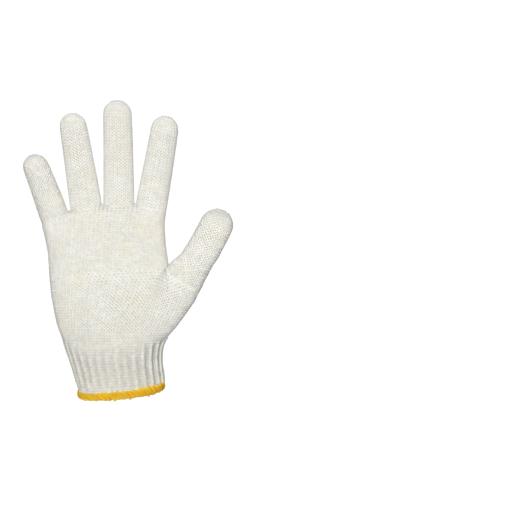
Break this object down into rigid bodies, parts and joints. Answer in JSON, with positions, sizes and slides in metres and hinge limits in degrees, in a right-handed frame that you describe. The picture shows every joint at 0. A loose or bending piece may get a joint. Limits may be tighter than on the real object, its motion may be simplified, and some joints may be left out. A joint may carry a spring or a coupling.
{
  "type": "cotton work glove",
  "caption": "Knitted cotton work glove in its worn form, open hand, with a ribbed elastic cuff and a yellow overlocked hem.",
  "frame": {"origin": "centre of the wrist opening, in the mean plane of the hem", "axes": "+Z from the wrist to the fingertips, -Y out of the palm side, +Y out of the back of the hand, +X towards the thumb"},
  "size_m": [0.1638, 0.0541, 0.2335],
  "materials": {
    "knit_cotton": "natural off-white cotton yarn, coarse plain knit, slightly fuzzy",
    "rib_cotton": "the same cotton knitted with elastic into soft ribs",
    "overlock_yarn": "yellow overlock thread, bulky and slightly glossy"
  },
  "bodies": {
    "root": {"palm": "knit_cotton", "thumb": "knit_cotton", "index_finger": "knit_cotton", "middle_finger": "knit_cotton", "ring_finger": "knit_cotton", "little_finger": "knit_cotton", "cuff": "rib_cotton", "overlock_hem": "overlock_yarn"}
  },
  "joints": []
}
